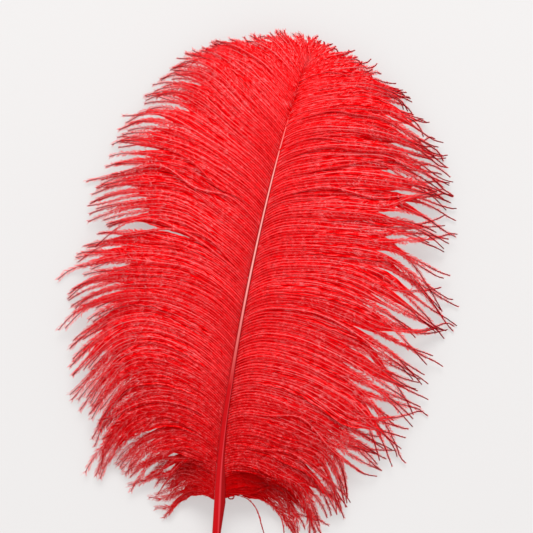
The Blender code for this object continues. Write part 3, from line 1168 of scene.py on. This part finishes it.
@dataclass(frozen=True)
class Shaft:
    """The bare quill and the shaft that it runs on into, as one tapering horn rod."""

    form: ShaftForm
    sides: int = 24
    rings: int = 220
    roundness: Span = (0.85, 0.75)  # powers of the section's width and height, 1 if round
    thickness: Keys = ((-0.30, 0.9), (0.0, 0.95), (0.5, 1.0), (1.0, 1.0))
    slimness: Keys = (
        (-0.30, 1.0), (-0.07, 0.88), (0.0, 0.76), (0.12, 0.80), (0.25, 0.90), (0.35, 0.80),
        (0.70, 0.75), (0.82, 0.60), (1.0, 0.60),
    )
    flank: Keys = (
        (-0.20, 0.0), (-0.07, 0.0010), (-0.005, 0.0033), (0.02, 0.0030), (0.10, 0.0012), (0.18, 0.0),
    )
    flank_from: float = 0.7  # share of the half width where the right flank bulges
    map_girth: float = 0.98

    def section(self, turn: Array) -> tuple[Array, Array]:
        """Half width and height of the section, over its width, at angles from its right side up."""
        parts = zip((np.cos(turn), np.sin(turn)), self.roundness)
        return tuple(0.5 * np.sign(x) * np.abs(x) ** power for x, power in parts)

    def build(self) -> bpy.types.Object:
        """Makes the shaft from a straight tube that is bent onto its line.

        Returns:
            The shaft.
        """
        bm = bmesh.new()
        bmesh.ops.create_cone(bm, cap_ends=True, segments=self.sides, radius1=1, radius2=1, depth=2)
        lengthwise = [e for e in bm.edges if abs(e.verts[0].co.z - e.verts[1].co.z) > 1]
        bmesh.ops.subdivide_edges(bm, edges=lengthwise, cuts=self.rings - 1, use_grid_fill=False)
        layer = bm.loops.layers.uv.new(BAKE_MAP)
        quill = self.form.bare_quill / self.form.barbed
        for face in bm.faces:
            turns = [math.atan2(loop.vert.co.y, loop.vert.co.x) / (2 * math.pi) % 1.0 for loop in face.loops]
            wraps = max(turns) - min(turns) > 0.5
            for loop, turn in zip(face.loops, turns):
                turn = turn + 1.0 if wraps and turn < 0.5 else turn
                loop[layer].uv = (turn * self.map_girth, (loop.vert.co.z + 1) / 2)
        for v in bm.verts:
            share = (v.co.z + 1) / 2 * (1 + quill) - quill
            flat, tall = self.section(np.array(math.atan2(v.co.y, v.co.x)))
            centre, heading, width = self.form.at(np.array(share))
            slope = float(np.interp(share * self.form.barbed, self.form.curve[0], self.form.curve[3]))
            tables = (self.slimness, self.thickness, self.flank)
            slim, thick, flank = (float(at_keys(keys, share)) for keys in tables)
            bulge = max(0.0, 2 * float(flat) - self.flank_from) / (1 - self.flank_from)
            aside = float(flat * width * slim + flank * bulge)
            right = Vector((math.cos(heading), -math.sin(heading), 0.0))
            level = math.cos(slope)
            ahead = Vector((math.sin(heading) * level, math.cos(heading) * level, math.sin(slope)))
            v.co = Vector(centre) + right * aside + right.cross(ahead) * float(tall * width * slim * thick)
        bmesh.ops.recalc_face_normals(bm, faces=bm.faces)
        mesh = bpy.data.meshes.new("shaft")
        bm.to_mesh(mesh)
        bm.free()
        mesh.shade_smooth()
        mesh.materials.append(HornDyeAndPaintedLight().material())
        return put_in_scene("shaft", mesh)

    def dress(self) -> None:
        """Builds the shaft and fixes it in the frame."""
        shaft = self.build()
        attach(shaft, "root")
        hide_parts("feather")
        LOG.info("shaft: %d faces", len(shaft.data.polygons))


@dataclass(frozen=True)
class Vane:
    """One side's barbs, in three pieces."""

    field: BarbField
    barbule: BarbuleForm
    rib: RibForm
    maroon_from: float  # share of the barbs' length from which their ribs are maroon
    recess_shade: float  # how much painted shade darkens the lowest barbs, in the recess under the upper layer
    fluff: FluffForm = FluffForm()
    seed: int = 100

    def dress(self) -> None:
        """Builds the vane's pieces and fixes them in the frame."""
        side = self.field.vane.side
        barbs = self.field.grow()
        for number, stretch in enumerate(Stretch):
            first, last = (round(s * len(barbs.points)) for s in stretch.value)
            some = barbs.some(first, last)
            heap = MeshHeap(last - first, self.seed + 10 * side.value + number)
            for form in (self.rib, self.fluff, self.barbule):
                form.add_to(heap, some)
            name = f"{side.name.lower()}_barbs_{stretch.name.lower()}"
            dye = BarbDyeAndPaintedLight(heap.columns, self.maroon_from, stretch, self.recess_shade)
            piece = heap.make(name, dye.material())
            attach(piece, "root")
            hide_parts("feather")
            LOG.info("%s: %d barbs, %d triangles", name, heap.columns, heap.triangles)


@dataclass(frozen=True)
class Studio:
    """The pale floor, soft light from the upper left and a camera straight above."""

    camera_height: float = 1.0
    camera_over: Span = (0.00581, 0.03998)
    roll: float = 9.4  # degrees that the picture's upright is turned from +Y, to the left
    focal_pixels: float = 1616.7
    sensor: float = 36.0
    nearest: float = 0.01
    floor_size: float = 6.0
    key_from: tuple[float, float, float] = (0.1, 1.9, 2.0)  # right, up and out of the picture
    key_size: float = 1.4
    key_power: float = 58.0
    sky: float = 0.84

    def in_frame(self, right: float, up: float, out: float) -> Vector:
        """Finds a place from the point under the camera.

        Args:
            right: How far to the picture's right it is.
            up: How far up the picture.
            out: How high above the floor.

        Returns:
            The place in the frame.
        """
        a = math.radians(self.roll)
        x = self.camera_over[0] + right * math.cos(a) - up * math.sin(a)
        y = self.camera_over[1] + right * math.sin(a) + up * math.cos(a)
        return Vector((x, y, out))

    def floor(self) -> None:
        """Lays the floor."""
        bm = bmesh.new()
        bmesh.ops.create_grid(bm, x_segments=1, y_segments=1, size=self.floor_size / 2)
        mesh = bpy.data.meshes.new("floor")
        bm.to_mesh(mesh)
        bm.free()
        mesh.materials.append(PaperFinish().material())
        put_in_scene("floor", mesh)

    def lights(self) -> None:
        """Hangs the key light and sets the sky."""
        light = bpy.data.lights.new("key", "AREA")
        light.shape, light.size, light.energy = "DISK", self.key_size, self.key_power
        key = put_in_scene("key", light)
        key.location = self.in_frame(*self.key_from)
        key.rotation_euler = (self.in_frame(0, 0, 0) - key.location).to_track_quat("-Z", "Y").to_euler()
        world = bpy.data.worlds.new("sky")
        world.use_nodes = True
        background = world.node_tree.nodes["Background"]
        background.inputs["Color"].default_value = WHITE
        background.inputs["Strength"].default_value = self.sky
        bpy.context.scene.world = world

    def camera(self) -> None:
        """Sets the camera above the floor."""
        lens = bpy.data.cameras.new("camera")
        lens.sensor_width = self.sensor
        lens.lens = self.focal_pixels * self.sensor / IMAGE_SIDE
        lens.clip_start = self.nearest
        camera = put_in_scene("camera", lens)
        camera.location = (*self.camera_over, self.camera_height)
        camera.rotation_euler = (0.0, 0.0, math.radians(self.roll))
        bpy.context.scene.camera = camera

    def set_up(self) -> None:
        """Builds the studio."""
        self.floor()
        self.lights()
        self.camera()
        bpy.context.scene.view_settings.view_transform = "Standard"
        LOG.info("studio: camera %.2f m above the floor", self.camera_height)


LEFT_ROOTS = (
    (0.00, 0.038, (62, 80, 110, 140, 160)), (0.05, 0.056, (56, 66, 96, 146, 164)),
    (0.14, 0.102, (44, 62, 95, 148, 156)), (0.26, 0.125, (46, 60, 90, 136, 148)),
    (0.45, 0.117, (49, 63, 80, 110, 128)), (0.62, 0.107, (51, 64, 70, 86, 120)),
    (0.78, 0.085, (50, 60, 57, 66, 112)), (0.90, 0.055, (50, 60, 57, 78, 112)),
    (0.96, 0.040, (34, 46, 54, 70, 84)), (1.00, 0.013, (6, 8, 12, 20, 30)),
)
RIGHT_ROOTS = (
    (0.00, 0.068, (58, 78, 122, 143, 153)), (0.05, 0.082, (58, 86, 116, 138, 148)),
    (0.14, 0.100, (54, 92, 114, 130, 142)), (0.26, 0.120, (50, 90, 104, 118, 128)),
    (0.45, 0.132, (38, 77, 98, 107, 110)), (0.62, 0.115, (40, 68, 72, 84, 102)),
    (0.78, 0.096, (40, 62, 74, 87, 96)), (0.90, 0.065, (38, 52, 66, 78, 90)),
    (0.96, 0.040, (30, 40, 52, 62, 70)), (1.00, 0.018, (8, 8, 8, 8, 8)),
)
LEFT_WISPS = (
    Wisp(0.035, 0.034, (40, 46, 60, 95, 130)), Wisp(0.020, 0.040, (52, 60, 85, 130, 150)),
    Wisp(0.012, 0.036, (60, 70, 100, 135, 150)), Wisp(0.005, 0.030, (66, 76, 105, 140, 160)),
    Wisp(0.045, 0.048, (44, 52, 90, 140, 165)), Wisp(0.028, 0.046, (50, 62, 100, 150, 150)),
)
RIGHT_WISPS = (
    Wisp(0.010, 0.044, (80, 96, 140, 165, 160)), Wisp(0.014, 0.060, (80, 100, 115, 160, 185)),
    Wisp(0.020, 0.017, (90, 95, 60, 200, 330)), Wisp(0.016, 0.018, (80, 90, 150, 270, 400)),
    Wisp(0.020, 0.015, (75, 80, 130, 200, 330)),
)


def main() -> None:
    """Builds the studio, the shaft and both vanes."""
    logging.basicConfig(level=logging.INFO, format="%(name)s %(message)s")
    Studio().set_up()
    shaft, habits = ShaftForm(), LockHabits()
    Shaft(shaft).dress()
    left = BarbField(
        VaneForm(Side.LEFT, shaft, LEFT_ROOTS), habits, LEFT_WISPS, barbs=215,
        part_from=(0.64, 0.92), fray=0.3, fluff_to=(0.76, 0.98), tightness=(0.45, 0.85),
        lock_lean=0.28, tuft_lean=0.15, sunk_fluff=0.6, wander=0.24, swerve=0.06, sway=0.35,
        lock_short=0.20, base_shorter=0.0, tip_shorter=0.25,
    )
    right = BarbField(
        VaneForm(Side.RIGHT, shaft, RIGHT_ROOTS), habits, RIGHT_WISPS, barbs=182,
        part_from=(0.78, 0.97), fray=2.0, fluff_to=(0.70, 0.96), tightness=(0.0, 0.20),
        lock_lean=0.12, tuft_lean=0.35, sunk_fluff=0.9, wander=0.28, swerve=0.07, sway=0.25,
        lock_short=0.08, base_shorter=0.06, tip_shorter=0.24,
    )
    lengths = ((0.0, 0.4), (0.12, 0.6), (0.4, 0.8), (0.6, 0.85))
    fringe = BarbuleForm((*lengths, (0.8, 0.78), (1.0, 0.6)))
    Vane(left, fringe, RibForm(0.00032, 0.00028), maroon_from=0.80, recess_shade=0.35).dress()
    fringe = BarbuleForm((*lengths, (0.8, 0.72), (0.93, 0.45), (1.0, 0.25)))
    Vane(right, fringe, RibForm(0.00036, 0.00036), maroon_from=0.74, recess_shade=0.85).dress()


if __name__ == "__main__":
    main()
